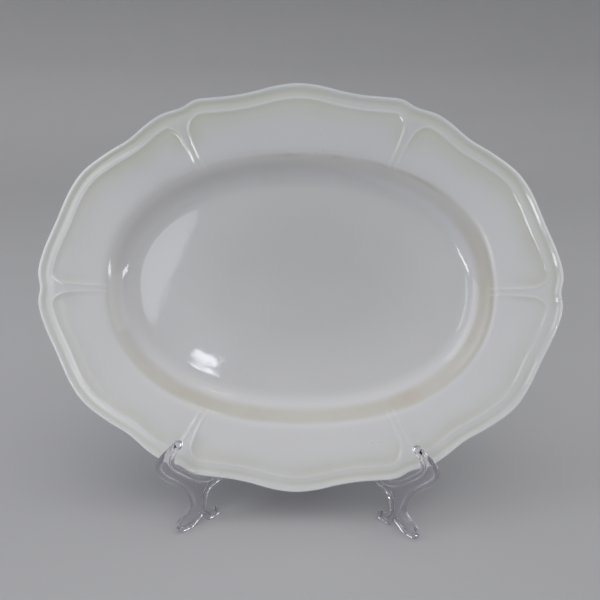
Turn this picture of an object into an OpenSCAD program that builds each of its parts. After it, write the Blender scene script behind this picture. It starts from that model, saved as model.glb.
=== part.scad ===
// Scalloped oval serving platter of glazed china, standing on a clear folding easel.
// Row frame: +X to the viewer's right, +Y away from the viewer, +Z up.
// The origin is on the table, on the easel's hinge axis.

/* [Platter] */
// Length of the platter over its end scallops
platter_length = 356; // [340:1:372]
// Width of the platter over its middle scallops
platter_width = 277; // [265:1:289]
// Depth from the rim's edge to the foot ring's resting face
platter_depth = 30; // [29:0.5:33]
// Length of the well at its shoulder
well_length = 268; // [256:1:276]
// Width of the well at its shoulder
well_width = 188; // [178:1:194]
// Length of the flat floor of the well
floor_length = 240; // [228:1:246]
// Width of the flat floor of the well
floor_width = 158; // [150:1:164]
// Drop from the rim's edge to the shoulder of the well
shoulder_drop = 8.5; // [7:0.5:10]
// Drop from the rim's edge to the floor of the well
floor_drop = 22; // [20:0.5:23]
// Thickness of the china at the floor
wall = 4.8; // [4:0.1:5]
// Thickness of the china at the rounded edge
edge_wall = 4; // [3.4:0.1:4.6]
// Length of the foot ring under the platter, outside
foot_length = 222; // [212:1:226]
// Width of the foot ring under the platter, outside
foot_width = 138; // [130:1:142]

/* [Placing] */
// How far the platter leans back from upright, in degrees
lean = 13.6; // [13.4:0.1:13.8]
// Height of the platter's middle above the table
middle_height = 160; // [160:0.1:162]
// Distance from the hinge axis forward to the platter's middle
middle_forward = 29; // [29:0.1:30]
// Sideways shift of the platter from the easel's middle
side_shift = -2.4; // [-3:0.1:3]

/* [Easel sides] */
// Angle of each side from straight ahead, in degrees
splay = 46; // [45.5:0.1:46.5]
// Thickness of a side at its beaded edge
side_thickness = 4.6; // [4:0.1:5]
// Thickness of a side's flat web
web_thickness = 2.6; // [2:0.1:3.4]
// Width of the bead around a side
bead_width = 2.4; // [1.6:0.1:2.8]
// Radius of the round knob on each hook
knob_r = 3.9; // [3:0.1:4.2]
// Height of the spine at the back of each side
spine_height = 138; // [136:0.5:138]

/* [Hinge] */
// Outside radius of the hinge barrel
barrel_r = 4.6; // [4:0.1:4.8]
// Radius of the hinge pin
pin_r = 1.6; // [1.2:0.1:2]
// Running clearance between the pin and its bore
pin_clearance = 0.05; // [0.02:0.01:0.1]
// Number of knuckles in the barrel
knuckles = 5; // [3:2:7]
// Gap between neighbouring knuckles
knuckle_gap = 0.4; // [0.2:0.1:0.8]
// Radius of the pin's head
pin_head_r = 3.2; // [2.6:0.1:4]
// Thickness of the floor below the pin
pin_floor = 2; // [1:0.5:4]

/* [Hidden] */

china = "ivory";
clear = [0.82, 0.82, 0.88, 0.45];

// One quarter of the scalloped edge, from the end notch to the middle of the long side,
// drawn on a platter 356 long and 277 wide.
quarter_edge = [
    [176.6, 0], [178, 11], [174, 26], [165, 46], [156, 66], [146, 80], [130, 92], [115, 101],
    [102, 112], [92, 118.2], [79, 122.3], [70, 127.6], [58, 129.1], [44, 130.4], [30, 133],
    [15, 136.8], [0, 138.5]
];
drawn_half_length = 178;
drawn_half_width = 138.5;
edge_steps = 2;             // points in each stretch between two points of the edge
well_power = 2.2;           // squareness of the ovals: 2 is an ellipse
crest_inset = 1.8;          // the highest line of the rim lies this far inside its edge
foot_thickness = 5;
foot_taper = 1;             // the foot ring's outside is this much longer at its root
foot_fillet = 0.4;          // rise of the back beside the foot ring
flat_share = 0.55;          // this share of the floor is quite flat
under_floor = floor_drop + wall;
rim_width = (platter_length - well_length) / 2;
crest_share = crest_inset / rim_width;

// The edge of a side, drawn as [distance forward of the hinge axis, height]. It runs from the
// top of the spine down the back rest, round the seat and the hook, then down the neck to the
// toe, the heel and the arch.
spine_gap = 0.6;            // keeps a side clear of the other side's knuckles
spine_edge = barrel_r + spine_gap;
side_edge = [
    [8.6, 138], [10.2, 133], [13.6, 114], [19, 91], [28, 72], [40, 59], [54, 49.5], [66, 42],
    [74, 36.2], [79.5, 33.7], [86, 33.7], [92, 36.8], [102, 45.4], [107.6, 51], [109.2, 56],
    [107, 60.4], [104, 63.4], [102.6, 67.2], [107.6, 68], [113, 65], [118.4, 61.6],
    [122.2, 56.6], [121.4, 50.4], [117, 44], [110.3, 37.8], [103.8, 30.4], [100.2, 24],
    [99, 17.4], [102.4, 13.2], [106.8, 10.2], [110.4, 6.4], [109, 1.6], [104, -0.8], [97.6, 0.6],
    [93.6, 3.6], [90.6, 4.8], [88.2, 2], [84, -0.8], [78.6, 0], [75.8, 3], [77, 6.4], [80.4, 7],
    [83.6, 8.4], [85.8, 12.6], [85.6, 18.6], [83.4, 23.4], [78.6, 25.8], [70, 26.4], [56, 27],
    [42, 26.2], [30, 23], [20.6, 16.4], [16, 8], [15, -1]
];
side_steps = 3;             // points in each stretch of the side's edge
knob_forward = 103.4;
knob_height = 66.4;
face_gap = 0.3;             // from the hinge axis to the inner face of a side
knuckle_height = spine_height / knuckles;
bridge_reach = 2.4;         // how far a bridge runs past the barrel into its side
bridge_length = barrel_r + bridge_reach;
pin_bottom = pin_floor + knuckle_gap;
head_gap = 0.1;             // from the highest knuckle to the pin's head
head_bottom = spine_height + head_gap;
pin_head_height = 2;
head_side = 0.6;            // the upright part of the head, as a share of its height
head_crown = 0.7;           // the flat crown of the head, as a share of its radius
round_steps = 48;
past_end = 2;               // how far a cutting shape runs past the end of what it cuts
overlap = 0.01;

// A point on the curve through a, b, c and d, a share t of the way from b to c.
function on_curve(a, b, c, d, t) =
    0.5 * (2 * b + (c - a) * t + (2 * a - 5 * b + 4 * c - d) * t * t
        + (3 * b - a - 3 * c + d) * t * t * t);

// A smooth closed curve through all the points.
function closed_curve(points, steps) =
    let (n = len(points))
    [for (i = [0 : n - 1]) for (k = [0 : steps - 1])
        on_curve(points[(i + n - 1) % n], points[i], points[(i + 1) % n],
            points[(i + 2) % n], k / steps)];

// A smooth open curve from the first point to the last.
function open_curve(points, steps) =
    let (n = len(points))
    [for (i = [0 : n - 2]) for (k = [0 : steps - (i < n - 2 ? 1 : 0)])
        on_curve(points[max(i - 1, 0)], points[i], points[i + 1],
            points[min(i + 2, n - 1)], k / steps)];

// The whole scalloped edge, counter-clockwise, from the quarter.
function whole_edge(quarter) =
    let (n = len(quarter) - 1)
    concat(
        [for (i = [0 : n - 1]) quarter[i]],
        [for (i = [n : -1 : 1]) [-quarter[i][0], quarter[i][1]]],
        [for (i = [0 : n - 1]) [-quarter[i][0], -quarter[i][1]]],
        [for (i = [n : -1 : 1]) [quarter[i][0], -quarter[i][1]]]
    );

edge = [
    for (p = closed_curve(whole_edge(quarter_edge), edge_steps))
        [p[0] * platter_length / (2 * drawn_half_length),
            p[1] * platter_width / (2 * drawn_half_width)]
];
edge_count = len(edge);

// The point of an oval that lies in the same direction as a point of the edge.
function on_oval(p, length, width) =
    let (
        a = atan2(p[1] / platter_width, p[0] / platter_length),
        r = pow(pow(abs(cos(a)), well_power) + pow(abs(sin(a)), well_power), -1 / well_power)
    )
    [length / 2 * r * cos(a), width / 2 * r * sin(a)];

// A ring on the rim, a share s of the way from the edge to the shoulder, at a drop.
function rim_ring(s, drop) =
    [for (p = edge)
        let (q = p * (1 - s) + on_oval(p, well_length, well_width) * s) [q[0], q[1], -drop]];

// A ring in the well, a share s of the way from the shoulder to the floor, at a drop.
function wall_ring(s, drop) =
    [for (p = edge)
        let (
            q = on_oval(p, well_length, well_width) * (1 - s)
                + on_oval(p, floor_length, floor_width) * s
        )
        [q[0], q[1], -drop]];

// An oval ring of its own length and width, at a drop.
function oval_ring(length, width, drop) =
    [for (p = edge) let (q = on_oval(p, length, width)) [q[0], q[1], -drop]];

// The wall of the well as [share of the way from the shoulder to the floor, drop].
wall_front = [
    [1, floor_drop - 0.4], [0.78, floor_drop - 2.2], [0.45, floor_drop - 6.8],
    [0.18, shoulder_drop + 2.4]
];
// The front of the rim with its moulded line, as [share of the way from the edge in, drop].
rim_front = [
    [0.97, shoulder_drop], [0.55, 0.6 * shoulder_drop], [0.24, 2.2], [0.2, 1.2], [0.16, 1.9],
    [crest_share, 0], [0, edge_wall / 2]
];
// The back of the rim, in the same way.
rim_back = [
    [crest_share, edge_wall], [0.5, 0.55 * shoulder_drop + wall],
    [0.96, shoulder_drop + wall + 0.6]
];
foot_inner_length = foot_length - 2 * foot_thickness;
foot_inner_width = foot_width - 2 * foot_thickness;

// The platter's rings, from the middle of the floor over the rim to the middle below.
rings = [
    oval_ring(floor_length * flat_share, floor_width * flat_share, floor_drop),
    for (p = wall_front) wall_ring(p[0], p[1]),
    for (p = rim_front) rim_ring(p[0], p[1]),
    for (p = rim_back) rim_ring(p[0], p[1]),
    wall_ring(0.5, floor_drop + foot_fillet),
    oval_ring(foot_length + foot_taper, foot_width + foot_taper, under_floor - foot_fillet),
    oval_ring(foot_length, foot_width, platter_depth),
    oval_ring(foot_inner_length + 2 * foot_taper, foot_inner_width + 2 * foot_taper,
        platter_depth),
    oval_ring(foot_inner_length, foot_inner_width, under_floor)
];

module platter_flat() {
    n = edge_count;
    last = len(rings) - 1;
    points = concat(
        [for (ring = rings) each ring],
        [[0, 0, -floor_drop], [0, 0, -under_floor]]
    );
    top = len(points) - 2;
    bottom = len(points) - 1;
    faces = concat(
        [for (k = [0 : last - 1]) for (i = [0 : n - 1])
            [k * n + i, k * n + (i + 1) % n, (k + 1) * n + i]],
        [for (k = [0 : last - 1]) for (i = [0 : n - 1])
            [k * n + (i + 1) % n, (k + 1) * n + (i + 1) % n, (k + 1) * n + i]],
        [for (i = [0 : n - 1]) [top, (i + 1) % n, i]],
        [for (i = [0 : n - 1]) [bottom, last * n + i, last * n + (i + 1) % n]]
    );
    polyhedron(points = points, faces = faces, convexity = 6);
}

module platter() {
    color(china)
        translate([side_shift, -middle_forward, middle_height])
            rotate([90 - lean, 0, 0]) platter_flat();
}

// The outline of a side as a flat shape. Its feet are cut level with the table.
module side_shape() {
    curve = [for (p = open_curve(side_edge, side_steps)) [p[0], max(p[1], 0)]];
    polygon(concat([[spine_edge, 0], [spine_edge, spine_height]], curve));
}

// One knuckle of the hinge, with the bridge that joins it to its side. dir is the side of
// the hinge's plane that the bridge lies on.
module knuckle(k, dir) {
    bottom = k * knuckle_height + (k > 0 ? knuckle_gap / 2 : 0);
    top = (k + 1) * knuckle_height - (k < knuckles - 1 ? knuckle_gap / 2 : 0);
    translate([0, 0, bottom]) {
        cylinder(r = barrel_r, h = top - bottom, $fn = round_steps);
        translate([0, dir > 0 ? face_gap : -face_gap - side_thickness, 0])
            cube([bridge_length, side_thickness, top - bottom]);
    }
}

// One side of the easel, in the X-Z plane, with the hinge axis along Z. It holds the
// knuckles first, first + 2 and so on.
module side(dir, first) {
    pocket = (side_thickness - web_thickness) / 2;
    bore_floor = first == 0 ? pin_floor : -past_end;
    outer = dir > 0 ? face_gap + side_thickness : -face_gap;
    difference() {
        union() {
            translate([0, outer, 0]) rotate([90, 0, 0])
                linear_extrude(side_thickness) side_shape();
            translate([knob_forward, dir * (face_gap + side_thickness / 2), knob_height])
                sphere(r = knob_r, $fn = round_steps);
            for (k = [first : 2 : knuckles - 1]) knuckle(k, dir);
        }
        for (face = [outer + overlap, outer - side_thickness + pocket])
            translate([0, face, 0]) rotate([90, 0, 0])
                linear_extrude(pocket + overlap) difference() {
                    offset(delta = -bead_width) side_shape();
                    translate([0, -overlap])
                        square([bridge_length + bead_width, spine_height + past_end]);
                }
        translate([0, 0, bore_floor])
            cylinder(r = pin_r + pin_clearance, h = spine_height + 2 * past_end,
                $fn = round_steps);
    }
}

// The side on the viewer's left, which carries the lowest and the highest knuckle.
module left_side() {
    color(clear) rotate([0, 0, -90 - splay]) side(-1, 0);
}

// The side on the viewer's right, which folds onto the left one.
module right_side() {
    color(clear) rotate([0, 0, -90 + splay]) side(1, 1);
}

// The pin runs down through every knuckle and hangs by its domed head.
module hinge_pin() {
    color(clear) {
        translate([0, 0, pin_bottom])
            cylinder(r = pin_r, h = head_bottom - pin_bottom + overlap, $fn = round_steps);
        translate([0, 0, head_bottom]) rotate_extrude($fn = round_steps)
            polygon([
                [0, 0], [pin_head_r, 0], [pin_head_r, head_side * pin_head_height],
                [head_crown * pin_head_r, pin_head_height], [0, pin_head_height]
            ]);
    }
}

platter();
left_side();
right_side();
hinge_pin();
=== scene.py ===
"""A scalloped oval china platter standing on a clear folding easel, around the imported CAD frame.

The frame is the part's own: +X to the viewer's right, +Y away from the viewer, +Z up, with the
origin on the table, on the axis of the easel's hinge. Shapes are worked out in millimetres, as in
the CAD, and turned into metres when their mesh is made.
"""
import math
from collections import namedtuple

import bpy
import numpy as np
from mathutils import Matrix, Vector
from mathutils.geometry import delaunay_2d_cdt


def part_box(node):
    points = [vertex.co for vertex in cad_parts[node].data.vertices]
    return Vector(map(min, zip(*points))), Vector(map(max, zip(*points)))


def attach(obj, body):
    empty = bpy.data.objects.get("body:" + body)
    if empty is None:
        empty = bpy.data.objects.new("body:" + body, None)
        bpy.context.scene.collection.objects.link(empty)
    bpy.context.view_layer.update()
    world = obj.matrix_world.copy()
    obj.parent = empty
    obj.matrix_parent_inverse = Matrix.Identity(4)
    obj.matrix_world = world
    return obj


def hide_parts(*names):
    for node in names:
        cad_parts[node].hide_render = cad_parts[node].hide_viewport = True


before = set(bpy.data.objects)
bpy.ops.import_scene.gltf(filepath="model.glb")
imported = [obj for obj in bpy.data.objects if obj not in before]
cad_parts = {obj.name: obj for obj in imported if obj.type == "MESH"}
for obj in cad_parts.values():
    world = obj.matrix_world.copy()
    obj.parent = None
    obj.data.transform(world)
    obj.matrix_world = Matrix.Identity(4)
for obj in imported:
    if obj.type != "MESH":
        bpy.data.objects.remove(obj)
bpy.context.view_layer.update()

MM = 0.001
scene = bpy.context.scene

# ---------------------------------------------------------------- driving values, in millimetres
PLATTER_LENGTH = 356
PLATTER_WIDTH = 277
WELL_LENGTH = 268
WELL_WIDTH = 188
FLOOR_LENGTH = 240
FLOOR_WIDTH = 158
LEAN = 13.6
MIDDLE_Y = -29
SPLAY = 46
SPINE_HEIGHT = 138
SIDE_THICKNESS = 4.6
WEB_THICKNESS = 2.6
FACE_GAP = 0.3
BARREL_R = 4.6
PIN_R = 1.6
PIN_CLEARANCE = 0.05
PIN_FLOOR = 2
PIN_HEAD_R = 3.2
PIN_HEAD_HEIGHT = 2
HEAD_GAP = 0.1
BRIDGE_REACH = 2.4
EDGE_CHAMFER = 0.4
KNUCKLES = 5
KNUCKLE_GAP = 0.4

# One quarter of the scalloped edge, from the end notch to the middle of the long side.
QUARTER_EDGE = [
    [176.6, 0], [178, 11], [174, 26], [165, 46], [156, 66], [146, 80], [130, 92], [115, 101],
    [102, 112], [92, 118.2], [79, 122.3], [70, 127.6], [58, 129.1], [44, 130.4], [30, 133],
    [15, 136.8], [0, 138.5]
]

# The edge of an easel side as [distance forward of the hinge axis, height].
SIDE_EDGE = [
    [8.6, 138], [10.2, 133], [13.6, 114], [19, 91], [28, 72], [40, 59], [54, 49.5], [66, 42],
    [74, 36.2], [79.5, 33.7], [86, 33.7], [92, 36.8], [102, 45.4], [107.6, 51], [109.2, 56],
    [107, 60.4], [104, 63.4], [102.6, 67.2], [107.6, 68], [113, 65], [118.4, 61.6],
    [122.2, 56.6], [121.4, 50.4], [117, 44], [110.3, 37.8], [103.8, 30.4], [100.2, 24],
    [99, 17.4], [102.4, 13.2], [106.8, 10.2], [110.4, 6.4], [109, 1.6], [104, -0.8], [97.6, 0.6],
    [93.6, 3.6], [90.6, 4.8], [88.2, 2], [84, -0.8], [78.6, 0], [75.8, 3], [77, 6.4], [80.4, 7],
    [83.6, 8.4], [85.8, 12.6], [85.6, 18.6], [83.4, 23.4], [78.6, 25.8], [70, 26.4], [56, 27],
    [42, 26.2], [30, 23], [20.6, 16.4], [16, 8], [15, -1]
]


# ---------------------------------------------------------------- camera
def way_to(heading, height):
    """The unit vector that points at a heading and a height above level, in degrees. A heading of 0
    is towards the viewer, and 90 is to the viewer's right."""
    heading, height = math.radians(heading), math.radians(height)
    return Vector((
        math.sin(heading) * math.cos(height),
        -math.cos(heading) * math.cos(height),
        math.sin(height),
    ))


def make_camera():
    """A phone's lens, a little above the platter and looking down at it."""
    position = Vector((0.0167, -0.420, 0.2626))
    forward = -way_to(2.4, 15.64)
    right = forward.cross(Vector((0, 0, 1))).normalized()
    up = right.cross(forward)
    data = bpy.data.cameras.new("camera")
    data.sensor_width = 36
    data.lens = 36
    data.clip_start = 0.01
    camera = bpy.data.objects.new("camera", data)
    turn = Matrix((right, up, -forward)).transposed().to_4x4()
    camera.matrix_world = Matrix.Translation(position) @ turn
    scene.collection.objects.link(camera)
    scene.camera = camera


# ---------------------------------------------------------------- curves
def on_curve(points, index, share):
    """Points of the smooth curve through points: index picks the stretch, share the way along it."""
    a, b, c, d = (points[index[:, k]] for k in range(4))
    t = share[:, None]
    return 0.5 * (2 * b + (c - a) * t + (2 * a - 5 * b + 4 * c - d) * t ** 2
                  + (3 * b - a - 3 * c + d) * t ** 3)


def closed_curve(points, steps):
    """A smooth closed curve, with steps points in each stretch."""
    points = np.array(points, float)
    n = len(points)
    start = np.repeat(np.arange(n), steps)
    index = (start[:, None] + np.arange(-1, 3)) % n
    return on_curve(points, index, np.tile(np.arange(steps) / steps, n))


def open_curve(points, steps):
    """A smooth open curve, with steps points in each stretch."""
    points = np.array(points, float)
    n = len(points)
    start = np.repeat(np.arange(n - 1), steps)
    index = np.clip(start[:, None] + np.arange(-1, 3), 0, n - 1)
    curve = on_curve(points, index, np.tile(np.arange(steps) / steps, n - 1))
    return np.vstack([curve, points[-1]])


def lengths_along(points):
    """The distance of each point from the first, along the line."""
    return np.concatenate([[0], np.cumsum(np.linalg.norm(np.diff(points, axis=0), axis=1))])


def blurred(values, sigma, closed):
    """values, evenly spaced, with a Gaussian blur of sigma steps."""
    reach = int(4 * sigma) + 1
    weights = np.exp(-0.5 * (np.arange(-reach, reach + 1) / sigma) ** 2)
    weights /= weights.sum()
    padded = np.pad(values, reach, mode="wrap" if closed else "edge")
    return np.convolve(padded, weights, mode="valid")


def smoothstep(low, high, x):
    """0 below low, 1 above high, and a smooth rise between them."""
    t = np.clip((x - low) / (high - low), 0, 1)
    return t * t * (3 - 2 * t)


# ---------------------------------------------------------------- meshes
def mesh_object(name, vertices_mm, faces, material, place=None):
    """A smooth-shaded mesh object from points in millimetres, put in place by a matrix in metres."""
    vertices = np.asarray(vertices_mm, float) * MM
    if place is not None:
        turn = np.array(place)
        vertices = vertices @ turn[:3, :3].T + turn[:3, 3]
    mesh = bpy.data.meshes.new(name)
    mesh.from_pydata(vertices.tolist(), [], faces)
    mesh.validate()
    mesh.polygons.foreach_set("use_smooth", [True] * len(mesh.polygons))
    mesh.materials.append(material)
    mesh.update()
    piece = bpy.data.objects.new(name, mesh)
    scene.collection.objects.link(piece)
    return piece


def add_attribute(piece, name, values):
    """A number at each point of the mesh, which its material reads by name."""
    attribute = piece.data.attributes.new(name, "FLOAT", "POINT")
    attribute.data.foreach_set("value", np.asarray(values, np.float32))


def ring_faces(first, second, columns):
    """The faces between two rings of columns points, whose first points are first and second."""
    k = np.arange(columns)
    after = (k + 1) % columns
    return np.column_stack([first + k, second + k, second + after, first + after]).tolist()


def circle(radius, height, columns):
    """Evenly spaced points round the upright axis."""
    turn = np.linspace(0, 2 * math.pi, columns, endpoint=False)
    return np.column_stack([radius * np.cos(turn), radius * np.sin(turn), np.full(columns, height)])


def tangents(outline):
    """The unit vector along a closed outline at each of its points."""
    along = np.roll(outline, -1, axis=0) - np.roll(outline, 1, axis=0)
    return along / np.linalg.norm(along, axis=1)[:, None]


# ---------------------------------------------------------------- the platter's shape
RIM = (PLATTER_LENGTH - WELL_LENGTH) / 2      # from the edge in to the shoulder of the well
WALL = (WELL_LENGTH - FLOOR_LENGTH) / 2       # from the shoulder in to the foot of the wall
FLOOR_BAND = 40                               # the outer band of the floor, which curves slightly
WELL_POWER = 2.2                              # squareness of the ovals
EDGE_R = 1.8                                  # how far in the rim's highest line lies
EDGE_WALL = 4.05                              # the thickness of the china at its edge
FLOOR_DROP = 22                               # from the crest of the rim to the floor
BACK_DROP = 26.8                              # from the crest of the rim to the middle of the back
FOOT_DROP = 29.75                             # from the crest of the rim to where the foot is bare
INNER_RING = 112                              # how far in from the edge the mesh's last rings lie
EDGE_STEP = 0.5                               # between the points of the scalloped edge
LINE_INSET = 10.0                             # the embossed line runs this far inside the edge
CORNER_R = 8.5                                # its rounded corners beside the ribs
FAR = 99.0                                    # farther than anything that is measured on the rim

# The ribs above and below as [x at the edge, x at the well, side], side being 1 above and -1 below.
# The other two lie level at the ends.
SLANTED_RIBS = [[-84, -66.6, 1], [82, 64.6, 1], [-81.5, -64.1, -1], [83.6, 66.2, -1]]

# The steepness of the front at distances in from the edge, from the crest to the flat floor.
FRONT_SLOPE = [
    [1.8, 0], [2.4, 0.45], [3.4, 0.7], [4.6, 0.35], [6, 0.02], [7.5, -0.03], [9, 0.06], [12, 0.17],
    [26, 0.19], [37, 0.17], [41.5, 0.24], [44.5, 0.62], [47.2, 1.12], [50, 1.28], [52, 1.2],
    [54.5, 0.93], [57.5, 0.55], [60.5, 0.23], [63.5, 0.06], [66, 0.01], [68, 0]
]
# The back as [distance in from the edge, drop below the crest]: rim, wall, foot ring and the middle.
BACK_LINE = [
    [1.8, 4.05], [6, 5.5], [14, 7.7], [24, 9.8], [34, 11.9], [41, 14], [46, 17.3], [51, 21.9],
    [56, 25], [60, 26.1], [64, 26.35], [66.3, 26.6], [67.2, 27.5], [67.6, 28.9], [68.3, 29.8],
    [69.2, 30], [70.8, 30], [71.7, 29.7], [72.3, 28.6], [72.9, 27.4], [74, 26.9], [78, BACK_DROP],
    [98, BACK_DROP]
]


def platter_edge():
    """The whole scalloped edge, in even steps."""
    quarter = [[float(x), float(y)] for x, y in QUARTER_EDGE]
    last = len(quarter) - 1
    whole = quarter[:last]
    whole += [[-x, y] for x, y in quarter[:0:-1]]
    whole += [[-x, -y] for x, y in quarter[:last]]
    whole += [[x, -y] for x, y in quarter[:0:-1]]
    dense = closed_curve(whole, 40)
    ring = np.vstack([dense, dense[:1]])
    along = lengths_along(ring)
    count = int(along[-1] / EDGE_STEP)
    even = np.linspace(0, along[-1], count, endpoint=False)
    return np.column_stack([
        blurred(np.interp(even, along, ring[:, k]), 3.0, True) for k in range(2)])


def rib_lines(edge):
    """The six ribs as [point at the edge, point at the shoulder of the well]."""
    end_notch = QUARTER_EDGE[0][0]
    ribs = []
    for end in (-1, 1):
        ribs.append([np.array([end * end_notch, 0.0]), np.array([end * WELL_LENGTH / 2, 0.0])])
    for outer_x, inner_x, way in SLANTED_RIBS:
        same_side = edge[edge[:, 1] * way > 0]
        outer = same_side[np.argmin(np.abs(same_side[:, 0] - outer_x))]
        share = abs(2 * inner_x / WELL_LENGTH)
        inner_y = way * WELL_WIDTH / 2 * (1 - share ** WELL_POWER) ** (1 / WELL_POWER)
        ribs.append([outer, np.array([inner_x, inner_y])])
    return ribs


def oval(points, length, width):
    """The points of an oval in the same directions as points of the edge."""
    a = np.arctan2(points[:, 1] / PLATTER_WIDTH, points[:, 0] / PLATTER_LENGTH)
    r = (np.abs(np.cos(a)) ** WELL_POWER + np.abs(np.sin(a)) ** WELL_POWER) ** (-1 / WELL_POWER)
    return np.column_stack([length / 2 * r * np.cos(a), width / 2 * r * np.sin(a)])


def platter_columns(edge, ribs):
    """Points of the edge where the mesh has its columns: close together beside the ribs."""
    count = len(edge)
    gap = np.full(count, FAR)
    for outer, _ in ribs:
        n = int(np.argmin(np.hypot(*(edge - outer).T)))
        around = np.abs((np.arange(count) - n + count / 2) % count - count / 2)
        gap = np.minimum(gap, around * EDGE_STEP)
    spacing = 0.56 + 2.0 * smoothstep(8, 18, gap)
    share = np.concatenate([[0], np.cumsum(EDGE_STEP / spacing)])
    columns = int(share[-1])
    at = np.interp(np.arange(columns) / columns * share[-1], share, np.arange(count + 1))
    ring = np.vstack([edge, edge[:1]])
    return np.column_stack([np.interp(at, np.arange(count + 1), ring[:, k]) for k in range(2)])


def platter_point(column_edge, inward):
    """Where a ring at a distance in from the edge passes each column, seen from the front."""
    rings = [
        column_edge,
        oval(column_edge, WELL_LENGTH, WELL_WIDTH),
        oval(column_edge, FLOOR_LENGTH, FLOOR_WIDTH),
        oval(column_edge, FLOOR_LENGTH - 2 * FLOOR_BAND, FLOOR_WIDTH - 2 * FLOOR_BAND),
        np.zeros_like(column_edge),
    ]
    stops = [0, RIM, RIM + WALL, RIM + WALL + FLOOR_BAND, RIM + WALL + 2 * FLOOR_BAND]
    k = min(int(np.searchsorted(stops, inward, side="right")) - 1, 3)
    share = (inward - stops[k]) / (stops[k + 1] - stops[k])
    return rings[k] * (1 - share) + rings[k + 1] * share


def front_profile():
    """The drop of the front below the crest, as fine tables of distance in and drop."""
    step = 0.1
    at = np.arange(EDGE_R, 100, step)
    slope = np.interp(at, *np.array(FRONT_SLOPE).T)
    slope = blurred(slope, 7, False) * smoothstep(EDGE_R, EDGE_R + 2, at)
    drop = np.concatenate([[0], np.cumsum((slope[1:] + slope[:-1]) / 2 * step)])
    return at, drop * FLOOR_DROP / drop[-1]


def panel_distance(points, inward, edge, ribs):
    """How far the points of a ring lie inside the embossed line of their panel, negative outside."""
    from_edge = np.full(len(points), FAR)
    if inward < 30:
        parts = np.array_split(points, max(1, len(points) // 2000))
        from_edge = np.concatenate([
            np.sqrt(((part[:, None, :] - edge[None, :, :]) ** 2).sum(2).min(1)) for part in parts])
    from_rib = np.full(len(points), FAR)
    for outer, inner in ribs:
        line = inner - outer
        line /= np.linalg.norm(line)
        offset = points - outer
        ahead = offset @ line
        beside = np.abs(offset[:, 0] * line[1] - offset[:, 1] * line[0])
        from_rib = np.where(np.abs(ahead) < RIM + 8, np.minimum(from_rib, beside), from_rib)
    half_gap = 2.1 + 1.4 * smoothstep(34, 12, inward)
    inside = from_edge - LINE_INSET
    beside = from_rib - half_gap
    low = np.minimum(inside, beside)
    corner = CORNER_R - np.hypot(np.maximum(CORNER_R - inside, 0), np.maximum(CORNER_R - beside, 0))
    return np.where((inside < CORNER_R) & (beside < CORNER_R), corner, low)


def emboss(distance, inward):
    """The height of the moulded line, with the shallow groove inside it, on the rim."""
    line = 0.29 * np.exp(-(distance / 1.0) ** 2)
    groove = -0.18 * np.exp(-((distance - 3.4) / 2.5) ** 2)
    fading = 0.45 + 0.55 * smoothstep(42, 24, inward)
    return (line + groove) * fading * smoothstep(45, 41, inward)


def platter_section():
    """The platter's section as (side, distance in from the edge, drop below the crest), from the
    middle of the front over the lip to the middle of the back."""
    at, drop = front_profile()
    front_at = np.concatenate([
        np.arange(2.4, 6, 0.6), np.arange(6, 16, 0.45), np.arange(16, 41, 1.2),
        np.arange(41, 66, 0.8), np.arange(66, 90, 2.0), [90, 98, INNER_RING]])
    front = [("front", m, float(np.interp(m, at, drop))) for m in front_at]
    lip = np.linspace(0, math.pi / 2, 7)[1:]
    lip_front = [("front", EDGE_R * (1 - math.cos(a)), EDGE_WALL / 2 * (1 - math.sin(a)))
                 for a in lip]
    lip_back = [("back", EDGE_R * (1 - math.cos(a)), EDGE_WALL / 2 * (1 + math.sin(a)))
                for a in lip[:-1]]
    back = [("back", m, depth) for m, depth in open_curve(BACK_LINE, 2)]
    back.append(("back", INNER_RING, BACK_DROP))
    return front[::-1] + lip_front[::-1] + [("edge", 0, EDGE_WALL / 2)] + lip_back + back


# A ring of the platter's mesh: its place in the section, and how far inside its panel's embossed
# line each of its points lies.
Ring = namedtuple("Ring", "side inward drop panel")


def platter_rings(columns, edge, ribs):
    """The rings of the mesh, and the points of each."""
    rings, rows = [], []
    for side, inward, drop in platter_section():
        points = platter_point(columns, inward)
        height = np.full(len(points), -drop)
        panel = np.full(len(points), FAR)
        if side == "front" and EDGE_R < inward < RIM + 2:
            panel = panel_distance(points, inward, edge, ribs)
            height = height + emboss(panel, inward) * smoothstep(EDGE_R, 4, inward)
        rings.append(Ring(side, inward, drop, panel))
        rows.append(np.column_stack([points, height]))
    return rings, rows


def platter_faces(rings, columns):
    """The faces between the rings, and the fans round the middles of the front and the back."""
    k = np.arange(columns)
    after = (k + 1) % columns
    last = (rings - 1) * columns
    front_middle, back_middle = rings * columns, rings * columns + 1
    faces = []
    for r in range(rings - 1):
        faces += ring_faces(r * columns, (r + 1) * columns, columns)
    faces += np.column_stack([np.full(columns, front_middle), k, after]).tolist()
    faces += np.column_stack([np.full(columns, back_middle), last + after, last + k]).tolist()
    return faces


def platter_place():
    """The platter's place: leaning back, with its highest point at the top of its CAD box."""
    box_low, box_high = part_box("platter")
    lean = math.radians(LEAN)
    lip_reach = EDGE_R * MM
    lip_drop = EDGE_WALL / 2 * MM
    top_z = (PLATTER_WIDTH / 2 * MM - lip_reach) * math.cos(lean) - lip_drop * math.sin(lean)
    top_z += math.hypot(lip_reach * math.cos(lean), lip_drop * math.sin(lean))
    middle = Vector(((box_low.x + box_high.x) / 2, MIDDLE_Y * MM, box_high.z - top_z))
    return Matrix.Translation(middle) @ Matrix.Rotation(math.pi / 2 - lean, 4, "X")


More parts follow.
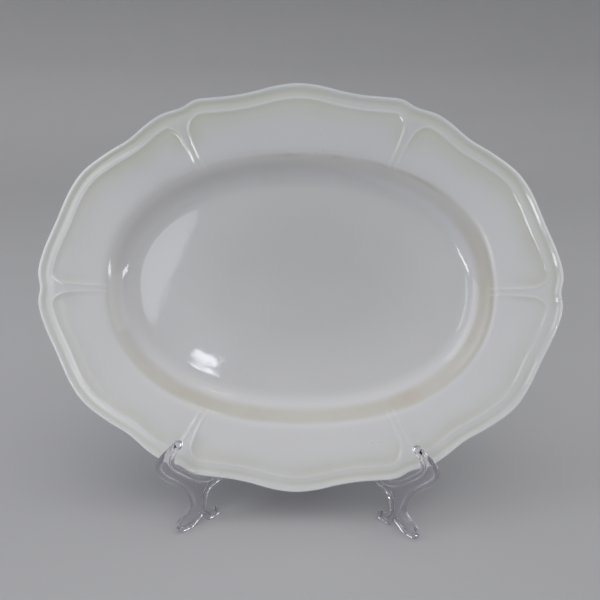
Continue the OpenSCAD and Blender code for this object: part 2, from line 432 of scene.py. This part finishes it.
def mark_platter(piece, rings, columns, vertices):
    """The numbers that tell the glaze where it is thick, thin, stained, dulled or missing, where it
    is darker in the middle of the floor, and where painted shade and painted highlights lie.
    """
    count = len(columns)

    def mark(name, rule, sides=("front",)):
        """Adds a mark: the rule's numbers on rings of these sides, and 0 on the other rings and at
        the two middle points."""
        values = [np.broadcast_to(rule(ring) if ring.side in sides else 0, (count,))
                  for ring in rings]
        add_attribute(piece, name, np.concatenate(values + [[0, 0]]))

    # Which way each column lies from the middle, to vary the marks round the platter.
    across, up = (columns / np.hypot(*columns.T)[:, None]).T

    # Where the glaze lies thick: in the groove inside the lip and along the moulded line. Its tint
    # is made stronger towards the top as painted shade.
    painted_shade_above = 0.9 + 0.5 * smoothstep(0, 0.5, up)

    def pooling_and_shade(ring):
        by_line = np.exp(-(np.maximum(ring.panel, 0) / 11) ** 2) * smoothstep(38, 16, ring.inward)
        by_lip = 0.3 + 0.9 * math.exp(-((ring.inward - 5.8) / 2.0) ** 2)
        on_rim = EDGE_R < ring.inward < RIM
        return np.where(ring.panel > 0, by_line, by_lip) * on_rim * painted_shade_above

    mark("pooling_and_shade", pooling_and_shade)

    # The upper wall of the well, where stains have gathered: less at the top, and least at the
    # upper left.
    upper_left = smoothstep(0.2, 0.95, -0.87 * across + 0.5 * up)
    stained = (1 - 0.75 * upper_left) * (1 - 0.7 * smoothstep(0.1, 0.7, up))
    band_start = 43.8 - 1.6 * smoothstep(0.3, 0.9, across)
    mark("wall_band", lambda ring: (
        smoothstep(band_start, band_start + 3, ring.inward)
        * smoothstep(55, 50.5, ring.inward) * stained))

    # Painted shade, grey, on the lower wall of the well and at its foot, widest at the left and the
    # top.
    shade_start = 56.5 - 7.5 * smoothstep(-0.2, 0.6, 0.5 * up - 0.86 * across)
    shade_strength = 0.15 + 0.65 * smoothstep(-0.75, 0.1, up) * smoothstep(1.2, 0.4, across)
    mark("wall_painted_shade", lambda ring: (
        smoothstep(shade_start - 2, shade_start + 2, ring.inward)
        * smoothstep(66, 60, ring.inward) * shade_strength))

    # A brown line in the corner of the shoulder, mostly at the top and the right end.
    lined = smoothstep(0.55, 0.95, up + 0.3 * across) + 0.45 * smoothstep(0.75, 1.0, across)
    brown = 0.12 + 0.88 * np.minimum(lined, 1)
    mark("shoulder", lambda ring: math.exp(-((ring.inward - 45.6) / 1.1) ** 2) * brown)

    # Whiter at the crest of the moulded line and at the lip: partly glaze run thin there, partly a
    # painted highlight. Along the top the lip's painted highlight is left off, as painted shade.
    lip_highlight = 1 - 0.95 * smoothstep(0.4, 0.9, up)

    def crest(ring):
        if ring.side == "front" and ring.inward > 4.5:
            return 0.2 * np.exp(-(ring.panel / 0.9) ** 2)
        return math.exp(-(ring.inward / 2.3) ** 4) * lip_highlight

    mark("crest", crest, ("front", "edge", "back"))

    # Painted shade: the rim a little greyer at the top, and its lip most of all.
    grey = smoothstep(0.3, 0.9, up)
    mark("rim_painted_shade", lambda ring: (
        grey * (0.55 + 0.4 * math.exp(-(ring.inward / 3.5) ** 2)) * (ring.inward < RIM - 1)
    ), ("front", "edge"))

    # Dulled by wear: the shoulder, mostly at the right, and the moulded line at the lower left.
    shoulder_wear = 0.3 + 0.7 * smoothstep(-0.2, 0.6, across)
    line_wear = smoothstep(0.25, -0.15, up) * smoothstep(-0.1, -0.5, across)
    mark("dulled", lambda ring: (
        smoothstep(38, 43, ring.inward) * smoothstep(53.5, 50, ring.inward) * shoulder_wear
        + smoothstep(20, 17, ring.inward) * smoothstep(3, 4, ring.inward) * line_wear))

    # The unglazed ring that the platter stands on.
    mark("bare_foot", lambda ring: ring.drop > FOOT_DROP, ("back",))

    # The floor, greyer than the rim. This fades from the last ring to the middle point, where the
    # next mark is strong.
    mark("well_floor", lambda ring: smoothstep(56, 66, ring.inward))

    # The middle of the floor, darker and greyer still.
    reach = np.hypot((vertices[:, 0] - 6) / 128, (vertices[:, 1] - 20) / 90)
    in_front = np.repeat([ring.side == "front" for ring in rings], count)
    in_front = np.concatenate([in_front, [True, False]])
    add_attribute(piece, "floor_middle_darker", in_front * smoothstep(1.0, 0.15, reach))


def make_platter(material):
    """The platter, leaning back in its place."""
    edge = platter_edge()
    ribs = rib_lines(edge)
    columns = platter_columns(edge, ribs)
    rings, rows = platter_rings(columns, edge, ribs)
    vertices = np.vstack(rows + [[[0, 0, -FLOOR_DROP]], [[0, 0, -BACK_DROP]]])
    faces = platter_faces(len(rings), len(columns))
    piece = mesh_object("china_platter", vertices, faces, material, platter_place())
    mark_platter(piece, rings, columns, vertices)
    return piece


# ---------------------------------------------------------------- the easel's shape
BEAD_RINGS = (0.08, 0.25, 0.55, 0.95, 1.45, 2.0, 2.6, 3.1, 3.6)     # depths inside the outline
GRID_STEP = 2.4                               # between the mesh's points in the web
GRID_DEPTH = 4.4                              # where the web's points begin, inside the outline
BEAD_ROUNDING = 1.9                           # how deep the round of the bead reaches


def side_outline():
    """The closed outline of a side, evenly stepped, as [forward, height]."""
    curve = open_curve(SIDE_EDGE, 12)
    curve[:, 1] = np.maximum(curve[:, 1], 0)
    spine_edge = BARREL_R + 0.6
    ring = np.vstack([curve, [[spine_edge, 0], [spine_edge, SPINE_HEIGHT]], curve[:1]])
    along = lengths_along(ring)
    even = np.arange(0, along[-1] - 0.3, 0.62)
    return np.column_stack([np.interp(even, along, ring[:, k]) for k in range(2)])


def distance_to_outline(points, outline):
    """The distance from each point to the closed outline."""
    a = outline
    b = np.roll(outline, -1, axis=0)
    line = b - a
    best = np.full(len(points), 1e9)
    for start, step in zip(a, line):
        offset = points - start
        t = np.clip(offset @ step / (step @ step), 0, 1)
        best = np.minimum(best, np.hypot(*(offset - t[:, None] * step).T))
    return best


def inside_outline(points, outline):
    """True for each point inside the closed outline."""
    x, y = points.T
    inside = np.zeros(len(points), bool)
    for (x0, y0), (x1, y1) in zip(outline, np.roll(outline, -1, axis=0)):
        if y0 != y1:
            crosses = (y0 > y) != (y1 > y)
            inside ^= crosses & (x < (x1 - x0) * (y - y0) / (y1 - y0) + x0)
    return inside


def half_thickness(depth, forward, height):
    """Half of a side's thickness: a rounded bead along its edge, and a thinner web within."""
    web = WEB_THICKNESS / 2
    rise = np.clip(depth / BEAD_ROUNDING, 0, 1)
    bead = SIDE_THICKNESS / 2 * np.sqrt(1 - (1 - rise) ** 2)
    into_web = smoothstep(2.1, 3.5, depth) * smoothstep(9.0, 10.6, forward)
    # The finger of the hook swells into a round knob.
    knob = np.hypot(forward - 103.4, height - 66.4)
    swell = 1 + 0.55 * np.exp(-(knob / 3.4) ** 4)
    return (bead * (1 - into_web) + web * into_web) * swell


def side_points(outline):
    """The points of a side's mesh: its outline, rings inside it for the bead, and a grid."""
    along = tangents(outline)
    inward = np.column_stack([along[:, 1], -along[:, 0]])
    points = [outline]
    for depth in BEAD_RINGS:
        ring = outline + inward * depth
        ring = ring[inside_outline(ring, outline)]
        points.append(ring[distance_to_outline(ring, outline) > depth * 0.93])
    forward = np.arange(5, 124, GRID_STEP)
    height = np.arange(0.5, SPINE_HEIGHT, GRID_STEP)
    grid = np.stack(np.meshgrid(forward, height), -1).reshape(-1, 2)
    grid = grid[inside_outline(grid, outline)]
    points.append(grid[distance_to_outline(grid, outline) > GRID_DEPTH])
    return np.vstack(points)


def make_side(name, direction, material):
    """One side of the easel. direction is -1 for the left one and 1 for the right one."""
    outline = side_outline()
    flat = [Vector(point) for point in side_points(outline)]
    loop = [[k, (k + 1) % len(outline)] for k in range(len(outline))]
    points, _, faces, _, _, _ = delaunay_2d_cdt(flat, loop, [], 1, 1e-5)
    points = np.array([list(point) for point in points])
    depth = distance_to_outline(points, outline)
    depth[depth < 1e-4] = 0
    half = half_thickness(depth, points[:, 0], points[:, 1])

    # The two faces share the points of the outline, where the thickness is nothing.
    inner = np.flatnonzero(depth > 0)
    rear_index = np.arange(len(points))
    rear_index[inner] = len(points) + np.arange(len(inner))
    middle = direction * (FACE_GAP + SIDE_THICKNESS / 2)
    front = np.column_stack([points[:, 0], middle + half, points[:, 1]])
    rear = np.column_stack([points[inner, 0], middle - half[inner], points[inner, 1]])
    all_faces = [list(face)[::-1] for face in faces]
    all_faces += [[int(rear_index[k]) for k in face] for face in faces]
    place = Matrix.Rotation(math.radians(-90 + direction * SPLAY), 4, "Z")
    piece = mesh_object(name, np.vstack([front, rear]), all_faces, material, place)

    # The left side has the even knuckles, and so the lowest one, which is closed under the pin.
    first = 0 if direction < 0 else 1
    for k in range(first, KNUCKLES, 2):
        cut_or_join(piece, knuckle(k, direction, material, place), "UNION")
    bore_floor = PIN_FLOOR if first == 0 else -1
    bore_r = PIN_R + PIN_CLEARANCE
    bore = turned("bore", [[bore_r, bore_floor], [bore_r, SPINE_HEIGHT + 1]], 48, material)
    cut_or_join(piece, bore, "DIFFERENCE")
    piece.data.polygons.foreach_set("use_smooth", [True] * len(piece.data.polygons))
    piece.data.set_sharp_from_angle(angle=math.radians(38))
    return piece


# ---------------------------------------------------------------- the hinge
def cut_or_join(piece, tool, operation):
    """Joins the solid tool to the piece, or cuts it away, and takes the tool off the scene."""
    modifier = piece.modifiers.new("shape", "BOOLEAN")
    modifier.operation = operation
    modifier.object = tool
    modifier.solver = "MANIFOLD"
    bpy.context.view_layer.update()
    shaped = piece.evaluated_get(bpy.context.evaluated_depsgraph_get())
    result = bpy.data.meshes.new_from_object(shaped)
    piece.modifiers.clear()
    piece.data = result
    bpy.data.objects.remove(tool)


def turned(name, profile, columns, material):
    """A solid of revolution about the hinge axis, from [radius, height] points going up."""
    rings = [circle(r, z, columns) for r, z in profile]
    low, high = profile[0][1], profile[-1][1]
    vertices = np.vstack(rings + [[[0, 0, low], [0, 0, high]]])
    bottom, top = len(vertices) - 2, len(vertices) - 1
    return mesh_object(name, vertices, loft_faces(len(rings), columns, bottom, top), material)


def loft_faces(rings, columns, bottom, top):
    """The faces between rings that go up, and the fans that close the two ends."""
    k = np.arange(columns)
    after = (k + 1) % columns
    faces = []
    for r in range(rings - 1):
        a, b = r * columns, (r + 1) * columns
        faces += np.column_stack([a + k, a + after, b + after, b + k]).tolist()
    last = (rings - 1) * columns
    faces += np.column_stack([np.full(columns, bottom), after, k]).tolist()
    faces += np.column_stack([np.full(columns, top), last + k, last + after]).tolist()
    return faces


def knuckle(k, direction, material, place):
    """One knuckle of the barrel with the bridge to its side, its edges chamfered."""
    pitch = SPINE_HEIGHT / KNUCKLES
    low = k * pitch + (KNUCKLE_GAP / 2 if k > 0 else 0)
    high = (k + 1) * pitch - (KNUCKLE_GAP / 2 if k < KNUCKLES - 1 else 0)
    start = math.asin(FACE_GAP / BARREL_R)
    arc = np.linspace(start, start - 1.5 * math.pi, 44)
    outline = [[BARREL_R * math.cos(a), BARREL_R * math.sin(a)] for a in arc]
    bridge_end = BARREL_R + BRIDGE_REACH
    inset = 0.1
    outline += [[bridge_end, FACE_GAP + SIDE_THICKNESS - inset], [bridge_end, FACE_GAP + inset]]
    outline = np.array(outline)
    if direction > 0:
        outline = outline[::-1]
    else:
        outline = outline * [1, -1]
    along = tangents(outline)
    inward = np.column_stack([-along[:, 1], along[:, 0]])
    rings = []
    for z, chamfer in ((low, EDGE_CHAMFER), (low + EDGE_CHAMFER, 0), (high - EDGE_CHAMFER, 0),
                       (high, EDGE_CHAMFER)):
        rings.append(np.column_stack([outline + inward * chamfer, np.full(len(outline), z)]))
    vertices = np.vstack(rings + [[[0, 0, low], [0, 0, high]]])
    faces = loft_faces(len(rings), len(outline), len(vertices) - 2, len(vertices) - 1)
    return mesh_object("knuckle", vertices, faces, material, place)


def make_pin(material):
    """The hinge pin, which hangs by its domed head."""
    low = PIN_FLOOR + KNUCKLE_GAP
    head = SPINE_HEIGHT + HEAD_GAP
    dome_low = 0.7
    tip_r = 0.3
    profile = [[PIN_R - EDGE_CHAMFER, low], [PIN_R, low + EDGE_CHAMFER], [PIN_R, head],
               [PIN_HEAD_R - 0.2, head], [PIN_HEAD_R, head + 0.25], [PIN_HEAD_R, head + dome_low]]
    for a in np.linspace(0, math.pi / 2, 9)[1:-1]:
        profile.append([PIN_HEAD_R * math.cos(a) ** 0.6,
                        head + dome_low + (PIN_HEAD_HEIGHT - dome_low) * math.sin(a)])
    profile.append([tip_r, head + PIN_HEAD_HEIGHT])
    piece = turned("easel_hinge_pin", profile, 48, material)
    piece.data.set_sharp_from_angle(angle=math.radians(50))
    return piece


# ---------------------------------------------------------------- materials
class Nodes:
    """A short way to build a node material."""

    def __init__(self, name):
        self.material = bpy.data.materials.new(name)
        self.material.use_nodes = True
        self.tree = self.material.node_tree
        self.tree.nodes.clear()
        self.shader = self.add("ShaderNodeBsdfPrincipled")
        output = self.add("ShaderNodeOutputMaterial")
        self.link(self.shader.outputs[0], output.inputs[0])

    def add(self, kind, **settings):
        node = self.tree.nodes.new(kind)
        for key, value in settings.items():
            setattr(node, key, value)
        return node

    def link(self, source, target):
        self.tree.links.new(source, target)

    def put(self, socket, value):
        if isinstance(value, bpy.types.NodeSocket):
            self.link(value, socket)
        else:
            socket.default_value = value

    def place(self):
        """The object's own coordinates, in metres."""
        return self.add("ShaderNodeTexCoord").outputs["Object"]

    def noise(self, scale, detail, rough=0.5):
        node = self.add("ShaderNodeTexNoise")
        node.inputs["Scale"].default_value = scale
        node.inputs["Detail"].default_value = detail
        node.inputs["Roughness"].default_value = rough
        self.link(self.place(), node.inputs["Vector"])
        return node.outputs[0]

    def cell_distance(self, scale):
        """The distance from the nearest of many scattered points."""
        node = self.add("ShaderNodeTexVoronoi")
        node.inputs["Scale"].default_value = scale
        self.link(self.place(), node.inputs["Vector"])
        return node.outputs["Distance"]

    def attribute(self, name):
        return self.add("ShaderNodeAttribute", attribute_name=name).outputs["Fac"]

    def math(self, operation, a, b):
        node = self.add("ShaderNodeMath", operation=operation)
        self.put(node.inputs[0], a)
        self.put(node.inputs[1], b)
        return node.outputs[0]

    def remap(self, value, low, high, to_low=0.0, to_high=1.0):
        """A smooth rise of value from to_low at low to to_high at high."""
        node = self.add("ShaderNodeMapRange", interpolation_type="SMOOTHSTEP")
        self.link(value, node.inputs["Value"])
        for socket, number in (("From Min", low), ("From Max", high),
                               ("To Min", to_low), ("To Max", to_high)):
            node.inputs[socket].default_value = number
        return node.outputs[0]

    def patchy(self, name, noise, low, high, least):
        """The attribute name, weakened to a least share of itself where the noise is low."""
        return self.math("MULTIPLY", self.attribute(name), self.remap(noise, low, high, least))

    def mix(self, share, a, b):
        node = self.add("ShaderNodeMix", data_type="RGBA")
        self.put(node.inputs[0], share)
        self.put(node.inputs[6], a)
        self.put(node.inputs[7], b)
        return node.outputs[2]

    def bump(self, height, strength, distance, before=None):
        node = self.add("ShaderNodeBump")
        node.inputs["Strength"].default_value = strength
        node.inputs["Distance"].default_value = distance
        self.link(height, node.inputs["Height"])
        if before is not None:
            self.link(before, node.inputs["Normal"])
        return node.outputs[0]


def rgb(r, g, b):
    return (r, g, b, 1.0)


def make_glaze():
    """White glaze: greener in the grooves, stained round the wall of the well, darker in the middle
    of its floor, with painted shade on the rim and the wall and painted highlights on the lip and
    the moulded line.
    """
    n = Nodes("china_glaze")
    shader = n.shader
    band = n.patchy("wall_band", n.noise(13, 5, 0.6), 0.35, 0.62, 0.75)
    stain = n.math("MULTIPLY", band, n.remap(n.noise(22, 5, 0.6), 0.45, 0.72))
    speck_here = n.remap(n.noise(34, 2), 0.64, 0.70)
    speck = n.math("MULTIPLY", n.remap(n.cell_distance(230), 0.15, 0.07), speck_here)
    # Each tint as [where it lies, its strength, its colour], one laid over the other.
    tints = [
        [n.patchy("well_floor", n.noise(18, 5), 0.3, 0.7, 0.6), 1.0, rgb(0.705, 0.705, 0.715)],
        [n.attribute("floor_middle_darker"), 0.8, rgb(0.57, 0.575, 0.575)],
        # painted shade on the rim, strongest at the top
        [n.attribute("rim_painted_shade"), 1.0, rgb(0.655, 0.685, 0.69)],
        # thick glaze in the grooves, with painted shade towards the top
        [n.patchy("pooling_and_shade", n.noise(16, 4), 0.35, 0.65, 0.5), 0.8, rgb(0.66, 0.67, 0.60)],
        [band, 0.95, rgb(0.635, 0.62, 0.55)],
        [stain, 0.4, rgb(0.60, 0.49, 0.36)],
        # painted shade on the wall of the well
        [n.patchy("wall_painted_shade", n.noise(26, 3), 0.3, 0.7, 0.6), 0.62, rgb(0.60, 0.60, 0.605)],
        [n.patchy("shoulder", n.noise(16, 4), 0.40, 0.62, 0.1), 0.38, rgb(0.42, 0.39, 0.31)],
        # whiter crest and lip: thin glaze there, and a painted highlight
        [n.attribute("crest"), 1.0, rgb(0.93, 0.93, 0.93)],
        [speck, 0.45, rgb(0.38, 0.33, 0.28)],
    ]
    tone = n.mix(n.noise(14, 4), rgb(0.755, 0.755, 0.765), rgb(0.785, 0.785, 0.79))
    for share, strength, colour in tints:
        tone = n.mix(n.math("MULTIPLY", share, strength), tone, colour)
    n.link(tone, shader.inputs["Base Color"])
    rough = n.remap(n.noise(60, 4), 0.2, 0.8, 0.02, 0.06)
    rough = n.math("ADD", rough, n.math("MULTIPLY", n.attribute("bare_foot"), 0.7))
    rough = n.math("ADD", rough, n.math("MULTIPLY", n.attribute("dulled"), 0.2))
    n.link(rough, shader.inputs["Roughness"])
    shader.inputs["IOR"].default_value = 1.52
    wavy = n.bump(n.noise(55, 2), 0.15, 0.0004)
    n.link(n.bump(n.noise(420, 2), 0.15, 0.00005, wavy), shader.inputs["Normal"])
    return n.material


def make_clear(name):
    """Clear moulded plastic with a faint violet-grey tint."""
    n = Nodes(name)
    shader = n.shader
    tone = n.mix(n.noise(40, 3), rgb(0.86, 0.85, 0.90), rgb(0.91, 0.90, 0.94))
    n.link(tone, shader.inputs["Base Color"])
    shader.inputs["Transmission Weight"].default_value = 1.0
    shader.inputs["IOR"].default_value = 1.5
    n.link(n.remap(n.noise(90, 4), 0.3, 0.8, 0.01, 0.06), shader.inputs["Roughness"])
    n.link(n.bump(n.noise(60, 2), 0.3, 0.0003), shader.inputs["Normal"])
    return n.material


def make_floor_material():
    """Plain pale grey, matt and without any reflection."""
    n = Nodes("floor")
    tone = n.mix(n.noise(6, 3), rgb(0.55, 0.55, 0.565), rgb(0.57, 0.57, 0.585))
    n.link(tone, n.shader.inputs["Base Color"])
    n.shader.inputs["Roughness"].default_value = 0.7
    n.shader.inputs["Specular IOR Level"].default_value = 0
    return n.material


# ---------------------------------------------------------------- stage and light
WELL_MIDDLE = Vector((-0.002, -0.023, 0.155))     # in metres; the soft boxes are aimed at it
WINDOW_Y = -1.96                                  # the upright plane of the windows, in metres


def make_stage():
    """A plain pale floor that curves up far away, so no horizon shows."""
    radii = [0.5, 1, 2, 3, 3.6, 4.2, 4.7, 5, 5.1, 5.12]
    heights = [0, 0, 0, 0, 0.05, 0.2, 0.45, 0.8, 1.3, 3.2]
    count = 96
    rings = [circle(r, z, count) for r, z in zip(radii, heights)]
    vertices = np.vstack([[[0, 0, 0]]] + rings) / MM
    k = np.arange(count)
    faces = np.column_stack([np.zeros(count, int), 1 + k, 1 + (k + 1) % count]).tolist()
    for r in range(len(rings) - 1):
        faces += ring_faces(1 + r * count, 1 + (r + 1) * count, count)
    floor = mesh_object("floor", vertices, faces, make_floor_material())


def area_light(name, position, target, size, radiance, colour):
    """A soft box of a size in metres, as bright as radiance from wherever it is seen."""
    data = bpy.data.lights.new(name, "AREA")
    data.shape = "RECTANGLE"
    data.size, data.size_y = size
    data.energy = radiance * math.pi * size[0] * size[1]
    data.color = colour
    light = bpy.data.objects.new(name, data)
    turn = (target - position).to_track_quat("-Z", "Y").to_matrix().to_4x4()
    light.matrix_world = Matrix.Translation(position) @ turn
    scene.collection.objects.link(light)
    return light


def aimed_light(name, heading, height, distance, width, tall, radiance, colour):
    """A soft box seen from the platter's well at a heading and height in degrees, with its own
    width and height in degrees, and its brightness as the well sees it."""
    position = WELL_MIDDLE + way_to(heading, height) * distance
    size = [2 * distance * math.tan(math.radians(d / 2)) for d in (width, tall)]
    return area_light(name, position, WELL_MIDDLE, size, radiance, colour)


def window_light(name, x, z, width, tall, roll, radiance, colour):
    """A soft box on the plane of the windows, facing the platter squarely, in metres."""
    position = Vector((x, WINDOW_Y, z))
    light = area_light(name, position, position + Vector((0, 1, 0)), (width, tall), radiance, colour)
    light.matrix_world = light.matrix_world @ Matrix.Rotation(math.radians(roll), 4, "Z")


def make_sky():
    """Faint light from all round, and a wide soft sun that shows nowhere in the glaze."""
    world = bpy.data.worlds.new("soft_light")
    world.use_nodes = True
    background = world.node_tree.nodes["Background"]
    background.inputs["Color"].default_value = rgb(0.94, 0.96, 1.0)
    background.inputs["Strength"].default_value = 0.22
    scene.world = world
    data = bpy.data.lights.new("soft_sky", "SUN")
    data.energy = 0.95
    data.angle = math.radians(70)
    data.color = (1.0, 0.995, 0.99)
    sun = bpy.data.objects.new("soft_sky", data)
    sun.matrix_world = (-way_to(26, 64)).to_track_quat("-Z", "Y").to_matrix().to_4x4()
    sun.visible_glossy = False
    scene.collection.objects.link(sun)


def make_lights():
    """The lamps of the photo's room: those that light the china and those it mirrors."""
    scene.view_settings.view_transform = "Standard"
    make_sky()
    window_light("left_window", -0.878, 0.79, 0.62, 0.60, -19, 2.1, (0.95, 0.96, 1.04))
    window_light("small_lamp", -0.450, 0.300, 0.105, 0.032, -24, 12, (0.92, 0.96, 1.05))
    low_left = aimed_light("low_left", -29, 0.6, 2.0, 25, 4.5, 9, (0.97, 0.98, 1.02))
    low_right = aimed_light("low_right", 60, -4, 1.6, 18, 7, 8, (0.98, 0.99, 1.04))
    front_fill = aimed_light("front_fill", -6, 18, 2.4, 60, 30, 0.66, (0.98, 0.99, 1.01))
    aimed_light("warm_lamp", 15, 66, 2.2, 6, 2, 8, (1.0, 0.8, 0.6))
    aimed_light("left_fill", -72, 24, 1.9, 24, 50, 1.5, (0.97, 0.98, 1.02))
    aimed_light("right_fill", 88, 12, 1.8, 40, 34, 0.8, (0.99, 0.99, 1.01))
    back_fill = aimed_light("back_fill", 180, 34, 2.4, 50, 34, 0.45, (0.99, 0.99, 1.01))
    # The front lamp lights the china evenly and shows nowhere in the glaze.
    front_fill.visible_glossy = False
    # The two low lamps and the back one only show in the glaze and the plastic.
    for lamp in (low_left, low_right, back_fill):
        lamp.visible_diffuse = False


# ---------------------------------------------------------------- the scene
make_camera()
glaze = make_glaze()
clear = make_clear("clear_plastic")
platter = make_platter(glaze)
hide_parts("platter")
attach(platter, "platter")
for side_name, side_direction in (("left_side", -1), ("right_side", 1)):
    side = make_side("easel_" + side_name, side_direction, clear)
    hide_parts(side_name)
    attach(side, side_name)
pin = make_pin(make_clear("pin_plastic"))
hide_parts("hinge_pin")
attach(pin, "left_side")
make_stage()
make_lights()
